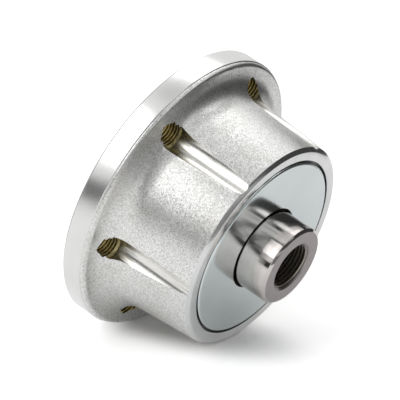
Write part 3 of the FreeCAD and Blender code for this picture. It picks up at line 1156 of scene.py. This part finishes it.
@dataclass
class InnerParts:
    """The hidden parts, which keep their CAD meshes and get their finishes."""

    finishes: dict[str, Finish] = field(
        default_factory=lambda: {
            "ball": LAPPED_BALL,
            "outer_ring": RACE_STEEL,
            "inner_ring": RACE_STEEL,
            "cage": MOULDED_NYLON,
            "bearing_seal": NITRILE_RUBBER,
            "seal_lips": NITRILE_RUBBER,
            "end_cap_o_ring": NITRILE_RUBBER,
            "bearing_circlip": PHOSPHATED,
            "lock_nut": PHOSPHATED,
            "lock_washer": PHOSPHATED,
            "seal_case": ZINC_PLATED,
            "wear_sleeve": RACE_STEEL,
        }
    )

    def dress(self, nodes: dict[str, bpy.types.Object]) -> None:
        """Gives each CAD node that is still shown its finish.

        Args:
            nodes: all CAD nodes by name.
        """
        for name, node in sorted(nodes.items()):
            if node.hide_render:
                continue
            finish = next(f for start, f in self.finishes.items() if name.startswith(start))
            node.data.materials.clear()
            node.data.materials.append(finish.material())
            smooth(node)
            log.info("%s: %s", name, finish.name)


@dataclass(frozen=True)
class Card:
    """A bent grey studio card that only reflections see, between two azimuths and two elevations. It glows
    at its grey, darker or brighter than the white room, and so paints a dark or bright reflection on the
    metal.
    """

    azimuth: tuple[float, float]
    elevation: tuple[float, float]
    grey: float
    distance: float = 700.0


@dataclass(frozen=True)
class FloorCard:
    """A flat grey card on the table that only reflections see, a sector between two radii. It glows at its
    grey and paints a darker reflection of the table, a painted shade in the reflections.
    """

    azimuth: tuple[float, float]
    radius: tuple[float, float]
    grey: float


@dataclass(frozen=True)
class Lamp:
    """A soft box lamp."""

    azimuth: float
    elevation: float
    size: float
    watts: float
    distance: float = 600.0


@dataclass
class Studio:
    """White table, soft lamps, cards and camera. Millimetres and degrees."""

    rim: tuple[float, float] = (58.5, 8.7)
    nose: tuple[float, float] = (43.5, 48.4)
    lean_azimuth: float = math.radians(-98.75)
    table_radius: float = 900.0
    # Painted glow on the table: it fades in between these distances from the contacts, on an oval drawn out
    # along the hub, up to this strength; reflections see this share of it.
    table_fade: tuple[float, float] = (9.0, 28.0)
    table_oval: float = 0.42
    table_glow: float = 0.45
    table_gloss: float = 0.1
    table_segments: int = 96
    room_light: float = 0.75
    camera_place: Vector = Vector((-742.42, 654.51, 476.06))
    camera_forward: Vector = Vector((0.68138, -0.59869, -0.42105))
    camera_right: Vector = Vector((0.63159, 0.19024, 0.75160))
    lens: float = 255.07
    sensor: float = 36.0
    clip: tuple[float, float] = (0.01, 50.0)
    card_steps: tuple[int, int] = (4, 24)
    card_lift: float = 0.5
    # Each card paints a dark or bright reflection on the metal where it hangs.
    cards: tuple[Card, ...] = (
        Card(azimuth=(-72, -12), elevation=(0, 14), grey=0.05),
        Card(azimuth=(-12, 132), elevation=(0, 16), grey=0.08),
        Card(azimuth=(-12, 24), elevation=(16, 34), grey=0.22),
        Card(azimuth=(-5, -3), elevation=(8, 30), grey=1.2, distance=690.0),
        Card(azimuth=(1, 5), elevation=(16, 36), grey=1.2, distance=690.0),
        Card(azimuth=(10, 12), elevation=(22, 42), grey=1.0, distance=690.0),
        Card(azimuth=(-30, 26), elevation=(47, 68), grey=0.12),
        Card(azimuth=(8, 30), elevation=(34, 44), grey=0.12),
        Card(azimuth=(46, 49), elevation=(36, 56), grey=0.2),
        Card(azimuth=(60, 73), elevation=(34, 58), grey=0.06),
        Card(azimuth=(76, 92), elevation=(33, 47), grey=1.7),
        Card(azimuth=(70, 146), elevation=(-8, 32), grey=0.05, distance=300.0),
        Card(azimuth=(96, 118), elevation=(32, 50), grey=0.4),
        Card(azimuth=(0, 360), elevation=(81, 89.9), grey=0.6),
    )
    floor_card: FloorCard = FloorCard(azimuth=(25, 116), radius=(165, 900), grey=0.22)
    lamps: tuple[Lamp, ...] = (
        Lamp(azimuth=160, elevation=60, size=300, watts=0.35),
        Lamp(azimuth=-57, elevation=48, size=440, watts=0.95),
    )
    up: Vector = field(init=False)
    right: Vector = field(init=False)
    toward: Vector = field(init=False)
    contact: Vector = field(init=False)
    along: Vector = field(init=False)

    def __post_init__(self) -> None:
        """Works out the table's upward direction and the studio's axes."""
        (r1, z1), (r2, z2) = self.rim, self.nose
        lean = math.atan2(r1 - r2, z2 - z1)
        side = Vector((math.cos(self.lean_azimuth), math.sin(self.lean_azimuth), 0))
        down = side * math.cos(lean) + AXIS * math.sin(lean)
        self.up = -down
        rim_place = side * r1 + AXIS * z1
        nose_place = side * r2 + AXIS * z2
        self.contact = (rim_place + nose_place) / 2
        self.along = (nose_place - rim_place).normalized()
        right = self.camera_right
        self.right = (right - self.up * right.dot(self.up)).normalized()
        self.toward = self.right.cross(self.up)

    def direction(self, azimuth: float, elevation: float) -> Vector:
        """Gives a direction in the hub's frame.

        Args:
            azimuth: degrees from towards the camera to its right.
            elevation: degrees above the table.

        Returns:
            Unit vector.
        """
        a, e = math.radians(azimuth), math.radians(elevation)
        level = self.toward * math.cos(a) + self.right * math.sin(a)
        return level * math.cos(e) + self.up * math.sin(e)

    def facing(self, place: Vector) -> Matrix:
        """Gives the matrix of a thing that faces the hub, its top upward.

        Args:
            place: its place in millimetres.

        Returns:
            The matrix, in metres.
        """
        back = place.normalized()
        across = self.up.cross(back).normalized()
        turn = Matrix((across, back.cross(across), back)).transposed().to_4x4()
        return Matrix.Translation(place * MM) @ turn

    def table(self) -> None:
        """Lays the white table under the rim and the nose. Its paper takes real light and shadow; a painted
        glow on top fades out near the contacts, which leaves a painted shade round them.
        """
        material, tree = new_tree("white_table")
        path = add(tree, "LightPath").outputs
        soft = add(tree, "Math", {0: path["Is Glossy Ray"], 1: self.table_gloss}, operation="MULTIPLY")
        seen = add(tree, "Math", {0: path["Is Camera Ray"], 1: soft.outputs[0]}, operation="MAXIMUM")
        seen = add(tree, "Math", {0: seen.outputs[0], 1: path["Is Transmission Ray"]}, operation="MAXIMUM")
        place = add(tree, "TexCoord").outputs["Object"]
        oval = add(tree, "Mapping", {"Vector": place, "Scale": (self.table_oval, 1.0, 1.0)})
        distance = add(tree, "VectorMath", {0: oval.outputs["Vector"]}, operation="LENGTH").outputs["Value"]
        near, far = (length * MM for length in self.table_fade)
        # The painted glow: none near the contacts and full further out.
        painted_glow = add(
            tree,
            "MapRange",
            {"Value": distance, "From Min": near, "From Max": far, "To Max": self.table_glow},
            interpolation_type="SMOOTHSTEP",
        )
        strength = add(tree, "Math", {0: seen.outputs[0], 1: painted_glow.outputs[0]}, operation="MULTIPLY")
        glow = add(tree, "Emission", {"Color": linear("#ffffff"), "Strength": strength.outputs[0]})
        paper = add(tree, "BsdfDiffuse", {"Color": linear("#ffffff")})
        surface = add(tree, "AddShader", {0: paper.outputs[0], 1: glow.outputs[0]})
        behind = add(tree, "NewGeometry").outputs["Backfacing"]
        clear = add(tree, "BsdfTransparent")
        both = add(tree, "MixShader", {0: behind, 1: surface.outputs[0], 2: clear.outputs[0]})
        add(tree, "OutputMaterial", {"Surface": both.outputs[0]})
        mesh = bmesh.new()
        size = {"segments": self.table_segments, "radius": self.table_radius * MM}
        bmesh.ops.create_circle(mesh, cap_ends=True, **size)
        table = link_object("table", mesh, [material])
        turn = Matrix((self.along, self.up.cross(self.along), self.up)).transposed().to_4x4()
        table.matrix_world = Matrix.Translation(self.contact * MM) @ turn

    def card(self, number: int, card: Card) -> None:
        """Hangs one grey card.

        Args:
            number: its number, for its name.
            card: its place, size and grey.
        """
        rows, columns = self.card_steps
        low, high = (math.radians(angle) for angle in card.elevation)
        first, last = card.azimuth
        corner = self.direction(first, card.elevation[0]) * card.distance * MM
        mesh = bmesh.new()
        start = mesh.verts.new(corner)
        upright = self.direction(first, 0).cross(self.up)
        turn = {"geom": [start], "axis": upright, "angle": high - low, "steps": rows}
        bmesh.ops.spin(mesh, cent=(0, 0, 0), use_duplicate=False, **turn)
        strip = mesh.verts[:] + mesh.edges[:]
        turn = {"geom": strip, "axis": self.up, "angle": math.radians(last - first), "steps": columns}
        bmesh.ops.spin(mesh, cent=(0, 0, 0), use_duplicate=False, **turn)
        self.hang(f"card_{number}", mesh, card.grey)

    def lay(self, card: FloorCard) -> None:
        """Lays a grey card just above the table.

        Args:
            card: its place, size and grey.
        """
        first, last = card.azimuth
        mesh = bmesh.new()
        way = self.direction(first, 0)
        foot = self.up * (self.up.dot(self.contact) + self.card_lift)
        ends = [mesh.verts.new((foot + way * radius) * MM) for radius in card.radius]
        strip = ends + [mesh.edges.new(ends)]
        turn = {"axis": self.up, "angle": math.radians(last - first), "steps": self.card_steps[1]}
        bmesh.ops.spin(mesh, geom=strip, cent=(0, 0, 0), use_duplicate=False, **turn)
        self.hang("floor_card", mesh, card.grey)

    @staticmethod
    def hang(name: str, mesh: bmesh.types.BMesh, grey: float) -> None:
        """Makes a card from its mesh that only reflections see; it glows at its grey and paints
        reflections.

        Args:
            name: name of the card.
            mesh: its mesh in metres.
            grey: its even brightness.
        """
        material, tree = new_tree(f"grey_{name}")
        glow = add(tree, "Emission", {"Color": (grey, grey, grey, 1), "Strength": 1.0})
        add(tree, "OutputMaterial", {"Surface": glow.outputs[0]})
        hung = link_object(name, mesh, [material])
        hung.visible_camera = False
        hung.visible_diffuse = False
        hung.visible_shadow = False

    def light(self) -> None:
        """Sets the lamps and the white surroundings."""
        for number, lamp in enumerate(self.lamps):
            data = bpy.data.lights.new(f"soft_box_{number}", "AREA")
            data.shape = "SQUARE"
            data.size = lamp.size * MM
            data.energy = lamp.watts
            made = bpy.data.objects.new(data.name, data)
            bpy.context.scene.collection.objects.link(made)
            made.matrix_world = self.facing(self.direction(lamp.azimuth, lamp.elevation) * lamp.distance)
        world = bpy.data.worlds.new("white_room")
        world.use_nodes = True
        tree = world.node_tree
        tree.nodes.clear()
        path = add(tree, "LightPath").outputs
        seen = add(tree, "Math", {0: path["Is Camera Ray"], 1: path["Is Glossy Ray"]}, operation="MAXIMUM")
        seen = add(tree, "Math", {0: seen.outputs[0], 1: path["Is Transmission Ray"]}, operation="MAXIMUM")
        levels = {"Value": seen.outputs[0], "To Min": self.room_light, "To Max": 1.0}
        strength = add(tree, "MapRange", levels).outputs["Result"]
        shade = add(tree, "Background", {"Strength": strength})
        add(tree, "OutputWorld", {"Surface": shade.outputs[0]})
        bpy.context.scene.world = world

    def camera(self) -> None:
        """Sets the camera at the photograph's viewpoint."""
        data = bpy.data.cameras.new("camera")
        data.lens = self.lens
        data.sensor_width = self.sensor
        data.clip_start, data.clip_end = self.clip
        made = bpy.data.objects.new("camera", data)
        bpy.context.scene.collection.objects.link(made)
        back = -self.camera_forward.normalized()
        right = (self.camera_right - back * self.camera_right.dot(back)).normalized()
        turn = Matrix((right, back.cross(right), back)).transposed().to_4x4()
        made.matrix_world = Matrix.Translation(self.camera_place * MM) @ turn
        bpy.context.scene.camera = made

    def build(self) -> None:
        """Sets the whole studio up."""
        self.table()
        for number, card in enumerate(self.cards):
            self.card(number, card)
        self.lay(self.floor_card)
        self.light()
        self.camera()
        bpy.context.scene.view_settings.view_transform = "Standard"
        log.info("studio: %d cards, %d lamps", len(self.cards), len(self.lamps))


def main() -> None:
    """Builds every piece in order, then the studio."""
    logging.basicConfig(level=logging.INFO, format="%(name)s %(message)s")
    for part in (Housing(), Shaft(), Shield(), EndCap()):
        part.build()
    InnerParts().dress(frame["nodes"])
    Studio().build()


if __name__ == "__main__":
    main()
